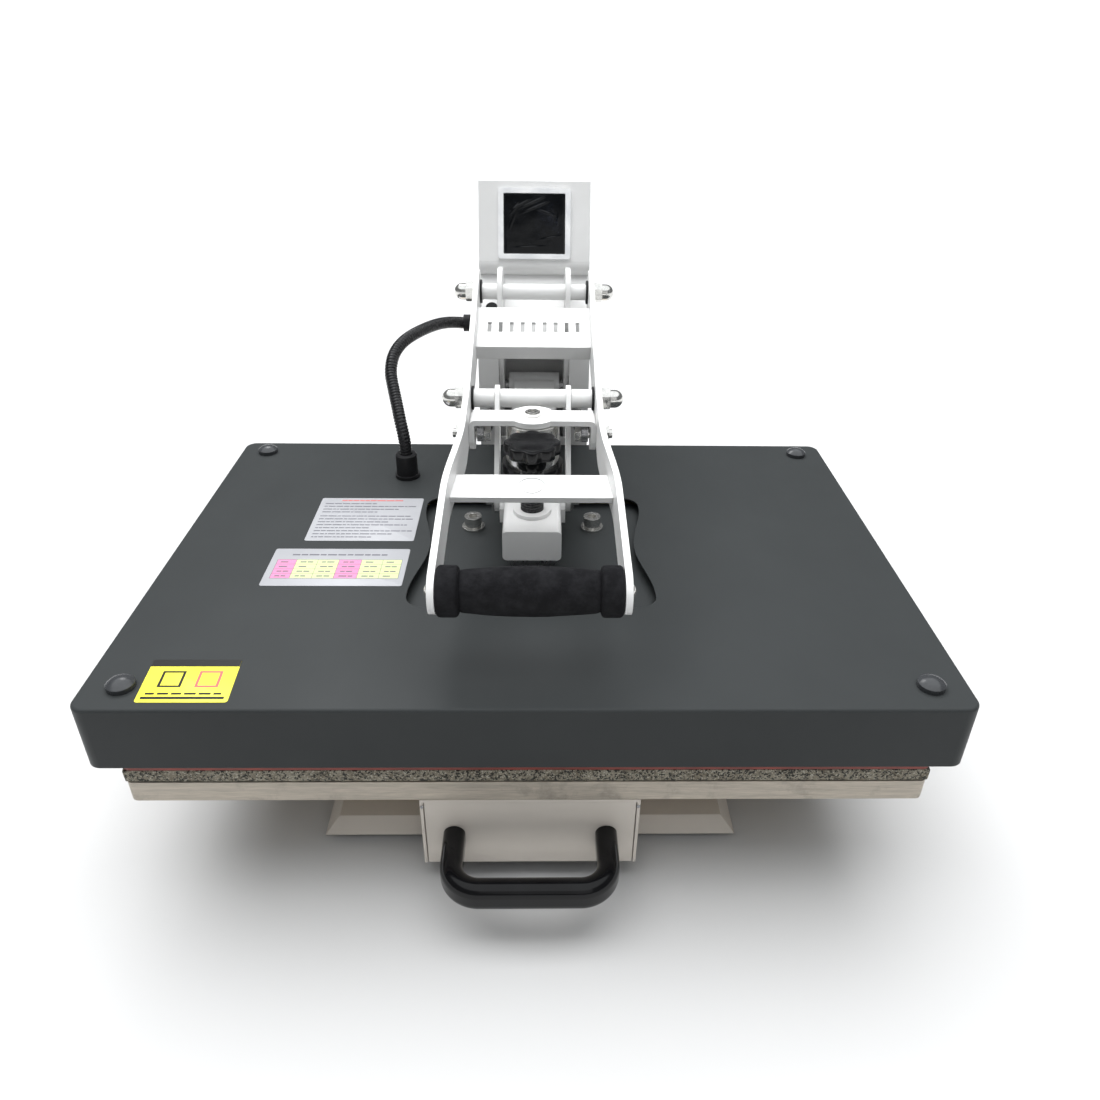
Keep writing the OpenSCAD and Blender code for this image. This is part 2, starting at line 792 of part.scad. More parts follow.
module grip_foam() {
  on_axis() color([0.03, 0.03, 0.03]) translate([0, gp[0], gp[1]]) rotate([0, 90, 0]) rotate_extrude()
    polygon(concat([[11.05, -gx + 0.4], [grip_dia / 2 - 0.5, -gx + 0.4], [grip_dia / 2, -gx + 1.6],
      [grip_dia / 2, -gx + 14], [grip_dia / 2 - 0.8, -gx + 15], [grip_dia / 2 - 3.4, -gx + 16]],
      [for (i = [0 : 12]) let (x = -gx + 17 + (grip_gap - 34) * i / 12)
        [grip_dia / 2 - 3.2 + 2.8 * sin(180 * i / 12), x]],
      [[grip_dia / 2 - 3.4, gx - 16], [grip_dia / 2 - 0.8, gx - 15], [grip_dia / 2, gx - 14],
      [grip_dia / 2, gx - 1.6], [grip_dia / 2 - 0.5, gx - 0.4], [11.05, gx - 0.4]]));
}

// outline of a domed screw head of radius r and height h, from its flat face up
function dome(r, h) = let (q = (r * r + h * h) / (2 * h)) concat([[0, 0]],
  [for (i = [0 : 8]) let (x = r * (1 - i / 8)) [x, h - q + sqrt(q * q - x * x)]]);

module grip_screws() {
  on_axis() color([0.8, 0.8, 0.82]) both() {
    cx(gp, gx - 18, gx + arm_t + 0.5, 4);
    translate([gx + arm_t + 0.1, gp[0], gp[1]]) rotate([0, 90, 0]) difference() {
      rotate_extrude() polygon(dome(6.4, 3.6));
      translate([0, 0, 1.4]) cylinder(h = 6, r = 2.3, $fn = 6);
    }
  }
}

// ---------- link ----------
module link_frame() {
  on_axis() color([0.96, 0.96, 0.96]) {
    both() difference() {
      yz(link_x, link_x + link_t) bar2(p2, 12, p3, 15);
      cx(p2, 0, 50, 6.08);
      cx(p3, 0, 50, 10.5);
    }
    difference() {
      cx(p2, -link_x - 0.1, link_x + 0.1, 8.5);
      cx(p2, -50, 50, 6.08);
    }
  }
}

// ---------- gas springs ----------
// local frame: +X runs from the lower to the upper pivot
module on_spring(s) {
  translate([s * spring_x, sl[0], sl[1]]) rotate([90, 0, 90]) rotate([0, 0, s_ang]) children();
}
module tube_x(x0, x1, r) {
  translate([x0, 0, 0]) rotate([0, 90, 0]) cylinder(h = x1 - x0, r = r);
}
module spring_cylinder(s) {
  on_axis() color([0.05, 0.05, 0.05]) on_spring(s) {
    difference() {
      tube_x(12, 152, 8);
      tube_x(16, 148, 6.2);
      tube_x(140, 160, 4.3);
    }
    // forked eye around the mount plate
    difference() {
      union() {
        for (z = [2.5, -5.5]) translate([0, 0, z]) cylinder(h = 3, r = 6.5);
        for (z = [2.5, -5.5]) translate([0, -5, z]) cube([13, 10, 3]);
      }
      translate([0, 0, -10]) cylinder(h = 20, r = 4.04);
    }
  }
}
module spring_rod(s) {
  on_axis() on_spring(s) {
    color([0.75, 0.75, 0.77]) tube_x(40, s_len - 12, 4);
    color([0.75, 0.75, 0.77]) tube_x(36, 42, 6.12);
    color([0.1, 0.1, 0.1]) tube_x(s_len - 26, s_len - 13, 4.5);
    color([0.1, 0.1, 0.1]) difference() {
      union() {
        translate([s_len, 0, -3]) cylinder(h = 6, r = 9.2);
        translate([s_len - 15, -4, -3]) cube([9, 8, 6]);
      }
      translate([s_len, 0, -5]) cylinder(h = 10, r = 6.3);
    }
  }
}
module spring_cylinder_l() {
  spring_cylinder(-1);
}
module spring_cylinder_r() {
  spring_cylinder(1);
}
module spring_rod_l() {
  spring_rod(-1);
}
module spring_rod_r() {
  spring_rod(1);
}

// ---------- drawer ----------
module drawer_box() {
  w = drawer_w / 2;
  on_axis() color([0.86, 0.84, 0.8]) difference() {
    translate([-w, -200.5, base_top + 2]) cube([drawer_w, 390, z_drawer - base_top - 2]);
    translate([-w + 2.5, -210, base_top - 2]) cube([drawer_w - 5, 410, z_drawer - base_top - 1]);
  }
}

module drawer_front() {
  w = drawer_w / 2 - 3.2;
  on_axis() color([0.84, 0.82, 0.78]) difference() {
    union() {
      translate([-w, -200, base_top + 2]) cube([2 * w, 2.5, z_drawer - base_top - 5.4]);
      both() translate([w - 2.5, -198, base_top + 2]) cube([2.5, 14, z_drawer - base_top - 5.4]);
    }
    for (x = [-pull_span / 2, pull_span / 2]) translate([x, -190, handle_z]) rotate([90, 0, 0])
      cylinder(h = 20, r = 3.2);
  }
}

module drawer_runners() {
  on_axis() color([0.7, 0.7, 0.72]) both() xz(-180, 189) {
    translate([61, 44.5]) square([drawer_w / 2 - 2.5 - 61.05, 36]);
  }
}

module lower_platen() {
  on_axis() color([0.75, 0.74, 0.71]) translate([0, 0, z_drawer]) linear_extrude(lower_t)
    rrect(platen_w, platen_d, 6);
}

module silicone_pad() {
  on_axis() color([0.55, 0.55, 0.5]) translate([0, 0, z_lower]) linear_extrude(pad_t)
    rrect(platen_w, platen_d, 6);
}

// the pull handle's route: two legs, two bends and the bar, with the section as children
module pull_path() {
  b = 22;
  s = pull_span / 2;
  for (x = [-1, 1]) translate([x * s, handle_y + b, 0]) rotate([-90, 0, 0])
    linear_extrude(-200.2 - handle_y - b) children();
  translate([-s + b, handle_y, 0]) rotate([90, 0, 90]) linear_extrude(2 * (s - b)) children();
  for (x = [0, 1]) mirror([x, 0, 0]) translate([s - b, handle_y + b, 0]) rotate([0, 0, -90])
    rotate_extrude(angle = 90) translate([b, 0]) children();
}

module pull_handle() {
  r = 8.5;
  rise = 3.7;
  on_axis() color([0.02, 0.02, 0.02]) translate([0, 0, handle_z]) pull_path() {
    translate([0, rise]) circle(r);
    translate([0, -rise]) circle(r);
    square([2 * r, 2 * rise], center = true);
  }
}

// ---------- conduit ----------
function dir(a) = a / norm(a);
function tangent(i) = dir(route[min(i + 1, len(route) - 1)] - route[max(i - 1, 0)]);
function side(i) = dir(plane_n - (plane_n * tangent(i)) * tangent(i));
function ring(i) = [for (k = [0 : sides - 1]) let (a = 360 * k / sides)
  route[i] + conduit_dia / 2 * (cos(a) * side(i) + sin(a) * cross(tangent(i), side(i)))];
module conduit() {
  n = len(route);
  on_axis() color([0.05, 0.05, 0.05]) polyhedron(
    points = [for (i = [0 : n - 1]) each ring(i)],
    faces = concat([[for (k = [0 : sides - 1]) k]],
      [for (i = [0 : n - 2], k = [0 : sides - 1]) [i * sides + k, (i + 1) * sides + k,
        (i + 1) * sides + (k + 1) % sides, i * sides + (k + 1) % sides]],
      [[for (k = [sides - 1 : -1 : 0]) (n - 1) * sides + k]]));
}

base_tray();
rubber_feet();
guide_rails();
tower_shell();
tower_back();
tower_frame();
pin1_shaft();
pin1_spacers();
pin1_nuts();
hinge_shaft();
spring_mounts();
controller_case();
controller_bezel();
controller_screen();
cable_fittings();
power_inlet();
power_switch();
solid_state_relay();
conduit();
beam();
magnet_mount();
electromagnet();
pin3_shaft();
pin3_nuts();
cover();
support_plate();
insulation();
heating_platen();
platen_facing();
corner_caps();
head_bolts();
thrust_socket();
label_notes();
label_table();
label_caution();
conduit_boot();
knob();
pressure_screw();
lever_arms();
cross_plate();
crossbar();
keeper_bracket();
keeper_bolts();
pin2_shaft();
pin2_spacers();
pin2_nuts();
grip_core();
grip_foam();
grip_screws();
link_frame();
spring_cylinder_l();
spring_cylinder_r();
spring_rod_l();
spring_rod_r();
drawer_box();
drawer_front();
drawer_runners();
lower_platen();
silicone_pad();
pull_handle();
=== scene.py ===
"""Looks of the drawer-type heat press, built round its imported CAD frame."""
import json
import math
import random

import bmesh
import bpy
from mathutils import Matrix, Vector, noise


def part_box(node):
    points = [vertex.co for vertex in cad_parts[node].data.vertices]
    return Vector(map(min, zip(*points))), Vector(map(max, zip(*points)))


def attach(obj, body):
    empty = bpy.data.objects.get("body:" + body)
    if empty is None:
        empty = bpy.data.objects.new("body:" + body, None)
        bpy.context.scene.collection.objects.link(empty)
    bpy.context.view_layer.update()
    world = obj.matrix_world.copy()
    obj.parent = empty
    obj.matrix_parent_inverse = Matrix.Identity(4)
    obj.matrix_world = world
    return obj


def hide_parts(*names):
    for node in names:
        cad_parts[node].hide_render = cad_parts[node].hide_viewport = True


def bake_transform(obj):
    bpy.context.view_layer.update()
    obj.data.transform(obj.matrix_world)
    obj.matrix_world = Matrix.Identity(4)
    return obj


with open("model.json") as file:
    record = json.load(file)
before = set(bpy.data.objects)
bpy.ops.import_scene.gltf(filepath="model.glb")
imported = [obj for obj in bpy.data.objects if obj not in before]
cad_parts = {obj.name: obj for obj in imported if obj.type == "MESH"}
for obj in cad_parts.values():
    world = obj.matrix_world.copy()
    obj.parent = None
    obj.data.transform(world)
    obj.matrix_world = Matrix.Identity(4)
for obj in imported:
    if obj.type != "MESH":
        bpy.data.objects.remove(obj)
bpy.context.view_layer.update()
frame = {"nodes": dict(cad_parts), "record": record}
MM = 0.001


def span(node):
    """Lowest corner, highest corner and centre of a CAD node, in metres."""
    low, high = (Vector(corner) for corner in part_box(node))
    return low, high, (low + high) / 2


# part.scad measures from the pressure screw's axis, which is the knob's own.
AXIS_Y = span("knob")[2].y


def at(x, y, z):
    """A point given in part.scad's own millimetres, measured from the screw's axis."""
    return Vector((x * MM, y * MM + AXIS_Y, z * MM))


# ---------------------------------------------------------------- camera and stage


def make_camera():
    """The photograph's viewpoint, from its vanishing lines."""
    data = bpy.data.cameras.new("camera")
    data.sensor_width = 36
    data.lens = 28.64
    data.shift_x = -0.0066
    data.clip_start = 0.01
    camera = bpy.data.objects.new("camera", data)
    bpy.context.collection.objects.link(camera)
    pitch, yaw, roll = (math.radians(a) for a in (31.24, 1.43, 0.93))
    turn = Matrix.Rotation(-yaw, 4, "Z") @ Matrix.Rotation(math.pi / 2 - pitch, 4, "X")
    camera.matrix_world = Matrix.Translation(at(5.66, -669, 596.7)) @ turn @ Matrix.Rotation(roll, 4, "Z")
    bpy.context.scene.camera = camera


def make_lights():
    """Soft studio light: a broad overhead source, one softbox behind and a weak front fill."""
    data = bpy.data.lights.new("overhead", "SUN")
    data.energy = 4.4
    data.angle = math.radians(75)
    sun = bpy.data.objects.new("overhead", data)
    sun.rotation_euler = (math.radians(-16), math.radians(-6), 0)
    sun.visible_glossy = False
    bpy.context.collection.objects.link(sun)
    for name, place, aim, size, power in (
        ("back_softbox", (-0.55, 1.1, 1.75), (0, 0, 0.3), 0.7, 5),
        ("front_fill", (0.5, -2.2, 1.2), (0, 0, 0.15), 1.4, 3),
    ):
        data = bpy.data.lights.new(name, "AREA")
        data.size = size
        data.energy = power
        lamp = bpy.data.objects.new(name, data)
        lamp.location = place
        lamp.rotation_euler = (Vector(aim) - Vector(place)).to_track_quat("-Z", "Y").to_euler()
        bpy.context.collection.objects.link(lamp)
    world = bpy.data.worlds.new("surround")
    bpy.context.scene.world = world
    world.use_nodes = True
    tree = world.node_tree
    seen = tree.nodes.new("ShaderNodeBackground")
    seen.inputs["Color"].default_value = (1, 1, 1, 1)
    seen.inputs["Strength"].default_value = 1.2
    light = tree.nodes["Background"]
    light.inputs["Color"].default_value = (0.95, 0.98, 1, 1)
    # a bright ceiling over a dim room, so that chrome shows contrast and black stays black
    heading = tree.nodes.new("ShaderNodeTexCoord")
    split = tree.nodes.new("ShaderNodeSeparateXYZ")
    ceiling = tree.nodes.new("ShaderNodeMapRange")
    for socket, value in (("From Min", 0.62), ("From Max", 0.74), ("To Min", 0.13), ("To Max", 1.25)):
        ceiling.inputs[socket].default_value = value
    tree.links.new(heading.outputs["Generated"], split.inputs[0])
    tree.links.new(split.outputs["Z"], ceiling.inputs["Value"])
    tree.links.new(ceiling.outputs["Result"], light.inputs["Strength"])
    path = tree.nodes.new("ShaderNodeLightPath")
    mix = tree.nodes.new("ShaderNodeMixShader")
    tree.links.new(path.outputs["Is Camera Ray"], mix.inputs["Fac"])
    tree.links.new(light.outputs[0], mix.inputs[1])
    tree.links.new(seen.outputs[0], mix.inputs[2])
    tree.links.new(mix.outputs[0], tree.nodes["World Output"].inputs["Surface"])
    bpy.context.scene.view_settings.view_transform = "Standard"


def make_floor():
    """A plain pale floor that only stages the press."""
    mesh = bpy.data.meshes.new("floor")
    half = 14
    corners = [(-half, -half, 0), (half, -half, 0), (half, half, 0), (-half, half, 0)]
    mesh.from_pydata(corners, [], [(0, 1, 2, 3)])
    floor = bpy.data.objects.new("floor", mesh)
    bpy.context.collection.objects.link(floor)
    mat = material("floor_paper", (0.55, 0.55, 0.55), 0.9)[0]
    mesh.materials.append(mat)


# ---------------------------------------------------------------- node helpers


class Nodes:
    """Short calls for one material's node tree."""

    def __init__(self, tree, shader):
        self.tree = tree
        self.shader = shader

    def node(self, kind, **values):
        made = self.tree.nodes.new(kind)
        for key, value in values.items():
            setattr(made, key, value)
        return made

    def link(self, a, b):
        self.tree.links.new(a, b)

    def feed(self, socket, value):
        if hasattr(value, "is_linked"):
            self.link(value, socket)
        else:
            socket.default_value = value

    def place(self, stretch=(1, 1, 1)):
        """The point on the piece, in metres, stretched along each axis."""
        coords = self.node("ShaderNodeTexCoord")
        mapping = self.node("ShaderNodeMapping")
        mapping.inputs["Scale"].default_value = stretch
        self.link(coords.outputs["Object"], mapping.inputs["Vector"])
        return mapping.outputs["Vector"]

    def noise(self, scale, detail=3.0, rough=0.5, stretch=(1, 1, 1)):
        made = self.node("ShaderNodeTexNoise")
        made.inputs["Scale"].default_value = scale
        made.inputs["Detail"].default_value = detail
        made.inputs["Roughness"].default_value = rough
        self.link(self.place(stretch), made.inputs["Vector"])
        return made.outputs["Fac"]

    def cells(self, scale, feature="F1", stretch=(1, 1, 1)):
        made = self.node("ShaderNodeTexVoronoi", feature=feature)
        made.inputs["Scale"].default_value = scale
        self.link(self.place(stretch), made.inputs["Vector"])
        return made.outputs["Distance"]

    def cell_values(self, scale):
        made = self.node("ShaderNodeTexVoronoi")
        made.inputs["Scale"].default_value = scale
        self.link(self.place(), made.inputs["Vector"])
        split = self.node("ShaderNodeSeparateColor")
        self.link(made.outputs["Color"], split.inputs[0])
        return split.outputs[0]

    def math(self, operation, a, b=0.5):
        made = self.node("ShaderNodeMath", operation=operation)
        self.feed(made.inputs[0], a)
        self.feed(made.inputs[1], b)
        return made.outputs[0]

    def span(self, value, low, high, to_low=0.0, to_high=1.0):
        """value, moved from the range low..high to to_low..to_high."""
        made = self.node("ShaderNodeMapRange")
        self.feed(made.inputs["Value"], value)
        made.inputs["From Min"].default_value = low
        made.inputs["From Max"].default_value = high
        made.inputs["To Min"].default_value = to_low
        made.inputs["To Max"].default_value = to_high
        return made.outputs["Result"]

    def blend(self, share, a, b):
        made = self.node("ShaderNodeMix", data_type="RGBA")
        self.feed(made.inputs["Factor"], share)
        for name, value in (("A", a), ("B", b)):
            socket = [s for s in made.inputs if s.name == name and s.type == "RGBA"][0]
            self.feed(socket, (*value, 1) if isinstance(value, tuple) else value)
        return [s for s in made.outputs if s.type == "RGBA"][0]

    def edges(self, radius):
        """A normal rounded over the edges, and a mask that is 1 along them."""
        bevel = self.node("ShaderNodeBevel", samples=6)
        bevel.inputs["Radius"].default_value = radius
        geometry = self.node("ShaderNodeNewGeometry")
        dot = self.node("ShaderNodeVectorMath", operation="DOT_PRODUCT")
        self.link(bevel.outputs[0], dot.inputs[0])
        self.link(geometry.outputs["Normal"], dot.inputs[1])
        return bevel.outputs[0], self.span(dot.outputs["Value"], 0.995, 0.8)

    def bump(self, height, distance, strength=1.0, normal=None):
        made = self.node("ShaderNodeBump")
        made.inputs["Distance"].default_value = distance
        made.inputs["Strength"].default_value = strength
        self.link(height, made.inputs["Height"])
        if normal is not None:
            self.link(normal, made.inputs["Normal"])
        return made.outputs[0]

    def set(self, name, value):
        self.feed(self.shader.inputs[name], (*value, 1) if isinstance(value, tuple) else value)


def material(name, color, rough, metal=0.0, coat=0.0):
    """A new material, and the helper for its node tree."""
    mat = bpy.data.materials.new(name)
    mat.use_nodes = True
    nodes = Nodes(mat.node_tree, mat.node_tree.nodes["Principled BSDF"])
    nodes.set("Base Color", color)
    nodes.set("Roughness", rough)
    nodes.set("Metallic", metal)
    nodes.set("Coat Weight", coat)
    return mat, nodes


def shade(color, factor):
    return tuple(min(1.0, c * factor) for c in color)


# ---------------------------------------------------------------- materials


def powder(name, color, rough, wear, wear_color, peel=0.000025, radius=0.0007, shine=0.5):
    """Powder coat: orange peel, faint handling marks, and edges where the coat is thin."""
    mat, n = material(name, color, rough)
    n.set("Specular IOR Level", shine)
    rounded, edge = n.edges(radius)
    patches = n.noise(9, 4, 0.6)
    tone = n.blend(n.span(patches, 0.3, 0.7), shade(color, 0.95), shade(color, 1.04))
    chips = n.math("MULTIPLY", edge, n.span(n.noise(160, 5, 0.7), 0.45, 0.62, 0, wear))
    n.set("Base Color", n.blend(chips, tone, wear_color))
    smears = n.noise(22, 6, 0.65, (1, 0.35, 1))
    n.set("Roughness", n.span(smears, 0.3, 0.75, rough - 0.06, rough + 0.09))
    grain = n.math("ADD", n.noise(620, 2, 0.4), n.math("MULTIPLY", n.noise(1500, 1), 0.35))
    n.set("Normal", n.bump(grain, peel, 0.55, rounded))
    return mat


def plated(name, color, rough, radius=0.0004):
    """Plated or ground steel: fine turning marks and small stains."""
    mat, n = material(name, color, rough, 0.93)
    rounded = n.edges(radius)[0]
    stain = n.noise(130, 5, 0.6)
    n.set("Base Color", n.blend(n.span(stain, 0.35, 0.75), color, shade(color, 0.72)))
    n.set("Roughness", n.span(n.noise(300, 4), 0.3, 0.7, rough - 0.05, rough + 0.12))
    n.set("Normal", n.bump(n.noise(900, 3, 0.6, (1, 0.2, 0.2)), 0.00001, 0.4, rounded))
    return mat


def brushed(name, color):
    """Aluminium plate: long grain along X, with a few deeper saw lines and marks."""
    mat, n = material(name, color, 0.42, 0.55)
    rounded = n.edges(0.0006)[0]
    fine = n.noise(60, 6, 0.7, (1, 22, 22))
    coarse = n.noise(26, 4, 0.6, (0.6, 14, 14))
    lines = n.math("ADD", fine, n.math("MULTIPLY", coarse, 0.6))
    tone = n.blend(n.span(lines, 0.55, 1.05), shade(color, 0.62), shade(color, 1.12))
    dirt = n.span(n.noise(34, 6, 0.7), 0.55, 0.75)
    n.set("Base Color", n.blend(dirt, tone, shade(color, 0.55)))
    n.set("Roughness", n.span(lines, 0.4, 1.1, 0.42, 0.66))
    n.set("Normal", n.bump(lines, 0.00006, 0.6, rounded))
    return mat


def gloss(name, color, rough, peel=0.00001, coat=0.0, scratch=0.08, shine=0.5):
    """Moulded or painted gloss surface with faint waves and hairline scratches."""
    mat, n = material(name, color, rough, 0.0, coat)
    n.set("Specular IOR Level", shine)
    rounded = n.edges(0.0005)[0]
    hair = n.noise(240, 7, 0.75, (1, 0.08, 1))
    n.set("Roughness", n.span(hair, 0.35, 0.8, rough, rough + scratch))
    n.set("Base Color", n.blend(n.span(n.noise(45, 5), 0.4, 0.7), color, shade(color, 1.5)))
    n.set("Normal", n.bump(n.noise(170, 2, 0.4), peel, 0.6, rounded))
    return mat


def matte(name, color, rough, scale, depth):
    """Moulded matte plastic or rubber with a fine tooth."""
    mat, n = material(name, color, rough)
    n.set("Specular IOR Level", 0.35)
    rounded = n.edges(0.0005)[0]
    grain = n.noise(scale, 4, 0.6)
    n.set("Base Color", n.blend(n.span(grain, 0.35, 0.7), shade(color, 0.8), shade(color, 1.35)))
    n.set("Roughness", n.span(n.noise(60, 4), 0.3, 0.7, rough - 0.08, rough + 0.08))
    n.set("Normal", n.bump(grain, depth, 0.8, rounded))
    return mat


def foam(name):
    """Closed-cell foam rubber: pores, a dusty bloom and slow undulations."""
    mat, n = material(name, (0.006, 0.006, 0.0065), 0.8)
    n.set("Specular IOR Level", 0.2)
    pores = n.cells(1100)
    lumps = n.noise(240, 5, 0.7)
    height = n.math("ADD", pores, lumps)
    bloom = n.span(n.noise(75, 6, 0.75), 0.42, 0.72)
    n.set("Base Color", n.blend(bloom, (0.005, 0.005, 0.006), (0.016, 0.016, 0.018)))
    n.set("Normal", n.bump(height, 0.00016, 0.7))
    return mat


def speckled(name):
    """Silicone foam: beige and grey, with fine dark and pale flecks and open pores."""
    mat, n = material(name, (0.16, 0.15, 0.13), 0.8)
    base = n.blend(n.span(n.noise(90, 6, 0.75), 0.35, 0.65), (0.16, 0.135, 0.095), (0.30, 0.275, 0.215))
    small = n.blend(n.span(n.cell_values(1200), 0.78, 0.84), base, (0.42, 0.40, 0.33))
    dark = n.math("MULTIPLY", n.span(n.cell_values(640), 0.55, 0.62), n.span(n.noise(700, 2), 0.38, 0.5))
    n.set("Base Color", n.blend(dark, small, (0.022, 0.022, 0.018)))
    n.set("Normal", n.bump(n.math("ADD", n.cells(800), n.noise(500, 5, 0.7)), 0.0003, 0.7))
    return mat


def wool(name):
    """Mineral wool: long pale fibres with browner gaps."""
    mat, n = material(name, (0.66, 0.58, 0.38), 0.95)
    fibre = n.noise(140, 8, 0.8, (0.3, 1, 3))
    n.set("Base Color", n.blend(n.span(fibre, 0.35, 0.7), (0.44, 0.36, 0.2), (0.76, 0.68, 0.48)))
    n.set("Normal", n.bump(fibre, 0.0008, 0.8))
    return mat


def conduit_skin(name):
    """Black sleeve over a ribbed core, worn a little in patches."""
    mat, n = material(name, (0.012, 0.012, 0.013), 0.34)
    n.set("Specular IOR Level", 0.5)
    rub = n.span(n.noise(420, 4, 0.7), 0.5, 0.72)
    n.set("Base Color", n.blend(rub, (0.006, 0.006, 0.007), (0.03, 0.03, 0.032)))
    n.set("Roughness", n.span(n.noise(160, 5), 0.3, 0.7, 0.2, 0.36))
    n.set("Normal", n.bump(n.noise(800, 3), 0.00003, 0.6))
    return mat


def ink(name, color, rough=0.5):
    """Printed ink: slightly uneven cover and a low tooth."""
    mat, n = material(name, color, rough)
    n.set("Base Color", n.blend(n.span(n.noise(900, 3), 0.35, 0.7), shade(color, 0.93), shade(color, 1.06)))
    n.set("Roughness", n.span(n.noise(500, 3), 0.3, 0.7, rough - 0.05, rough + 0.06))
    return mat


def film_label(name, color, rough):
    """Printed polyester film: satin, with faint rolls where it was pressed down."""
    mat, n = material(name, color, rough)
    waves = n.noise(16, 3, 0.5)
    n.set("Base Color", n.blend(n.span(waves, 0.35, 0.65), shade(color, 0.95), shade(color, 1.05)))
    n.set("Roughness", n.span(n.noise(120, 5), 0.3, 0.7, rough - 0.06, rough + 0.08))
    n.set("Normal", n.bump(waves, 0.0004, 0.25))
    return mat


def display_film(name):
    """Clear film over the black display window, hazy where fingers pressed it down."""
    mat, n = material(name, (0.003, 0.0035, 0.005), 0.07)
    haze = n.math("MULTIPLY", n.span(n.noise(38, 5, 0.6), 0.5, 0.72), n.span(n.noise(260, 4, 0.7), 0.35, 0.7))
    n.set("Base Color", n.blend(haze, (0.0015, 0.002, 0.003), (0.016, 0.018, 0.026)))
    n.set("Roughness", n.span(n.noise(90, 6, 0.7), 0.3, 0.8, 0.04, 0.22))
    n.set("Specular IOR Level", 0.35)
    return mat


WHITE = (0.80, 0.80, 0.795)
CREAM = (0.64, 0.59, 0.53)
SLATE = (0.035, 0.038, 0.039)
LOOKS = {
    "powder_white": powder("white_powder_coat", WHITE, 0.36, 0.25, (0.45, 0.44, 0.42)),
    "powder_cream": powder("cream_powder_coat", CREAM, 0.42, 0.3, (0.38, 0.36, 0.33)),
    "powder_grey": powder("slate_powder_coat", SLATE, 0.40, 0.5, (0.16, 0.16, 0.16), 0.00002, shine=0.14),
    "zinc": plated("zinc_plate", (0.62, 0.63, 0.64), 0.34),
    "steel": plated("ground_steel", (0.52, 0.52, 0.53), 0.26),
    "chrome": plated("nickel_plate", (0.86, 0.85, 0.82), 0.14),
    "cast_alu": brushed("machined_casting", (0.60, 0.60, 0.59)),
    "brushed_alu": brushed("brushed_aluminium", (0.56, 0.505, 0.43)),
    "screw_black": gloss("black_oxide", (0.03, 0.03, 0.031), 0.24, 0.00002, shine=0.7),
    "gloss_black": gloss("black_phenolic", (0.004, 0.004, 0.0045), 0.1, 0.000004, shine=0.28),
    "matte_black": matte("black_nylon", (0.011, 0.011, 0.012), 0.5, 700, 0.00004),
    "paint_black": gloss("black_gloss_paint", (0.004, 0.004, 0.0045), 0.09, 0.000006, 0.0, 0.07, 0.26),
    "cap_black": gloss("dark_grey_caps", (0.035, 0.037, 0.040), 0.2, 0.00001, 0.3),
    "screen": gloss("display_glass", (0.008, 0.009, 0.011), 0.06, 0.000005, 0.5),
    "bezel": gloss("white_moulding", (0.80, 0.81, 0.83), 0.2),
    "foam_black": foam("foam_rubber"),
    "rubber": matte("black_rubber", (0.02, 0.02, 0.02), 0.7, 500, 0.00008),
    "silicone": speckled("silicone_foam"),
    "facing_red": gloss("release_facing", (0.18, 0.028, 0.018), 0.42),
    "wool": wool("mineral_wool"),
    "label_silver": film_label("silver_film", (0.36, 0.365, 0.385), 0.36),
    "label_yellow": film_label("yellow_vinyl", (0.86, 0.79, 0.07), 0.34),
    "relay": matte("cream_moulding", (0.72, 0.69, 0.60), 0.5, 600, 0.00003),
    "switch_red": gloss("red_rocker", (0.42, 0.015, 0.01), 0.2),
}


def dress_frame():
    """Every CAD node gets the look of its material slot."""
    for part in frame["record"]["subparts"]:
        mesh = frame["nodes"][part["node"]].data
        for i in range(max(1, len(mesh.materials))):
            if mesh.materials:
                mesh.materials[i] = LOOKS[part["material_slot"]]
            else:
                mesh.materials.append(LOOKS[part["material_slot"]])


# ---------------------------------------------------------------- mesh helpers


def piece(name, verts, faces, look, body, slot=None, smooth=35):
    """A new piece in the row frame, riding on a CAD body."""
    mesh = bpy.data.meshes.new(name)
    mesh.from_pydata([tuple(v) for v in verts], [], faces)
    mesh.materials.append(look)
    shaped = bmesh.new()
    shaped.from_mesh(mesh)
    bmesh.ops.remove_doubles(shaped, verts=shaped.verts, dist=1e-7)
    bmesh.ops.recalc_face_normals(shaped, faces=shaped.faces)
    shaped.to_mesh(mesh)
    shaped.free()
    mesh.shade_smooth()
    mesh.set_sharp_from_angle(angle=math.radians(smooth))
    made = bpy.data.objects.new(name, mesh)
    bpy.context.collection.objects.link(made)
    if body:
        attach(made, body)
    return made


def skin(rings, closed=False):
    """Vertices and faces of a surface through equal rings, capped unless closed on itself."""
    count, size = len(rings), len(rings[0])
    verts = [v for ring in rings for v in ring]
    faces = []
    for i in range(count if closed else count - 1):
        j = (i + 1) % count
        for k in range(size):
            m = (k + 1) % size
            faces.append((i * size + k, i * size + m, j * size + m, j * size + k))
    if not closed:
        faces.append(tuple(range(size))[::-1])
        faces.append(tuple((count - 1) * size + k for k in range(size)))
    return verts, faces


def turned(profile, centre, axis="Z", sides=64, closed=False, outline=None):
    """Rings of a turned shape. profile is (radius, height) pairs in mm, along axis from centre."""
    rings = []
    for radius, height in profile:
        ring = []
        for k in range(sides):
            a = 2 * math.pi * k / sides
            r = radius * (outline(a, radius) if outline else 1)
            u, v = r * math.cos(a) * MM, r * math.sin(a) * MM
            h = height * MM
            offset = {
                "X": (h, u, v), "-X": (-h, -u, v), "Y": (u, h, v), "-Y": (u, -h, v), "Z": (u, v, h),
            }[axis]
            ring.append(centre + Vector(offset))
        rings.append(ring)
    return skin(rings, closed)


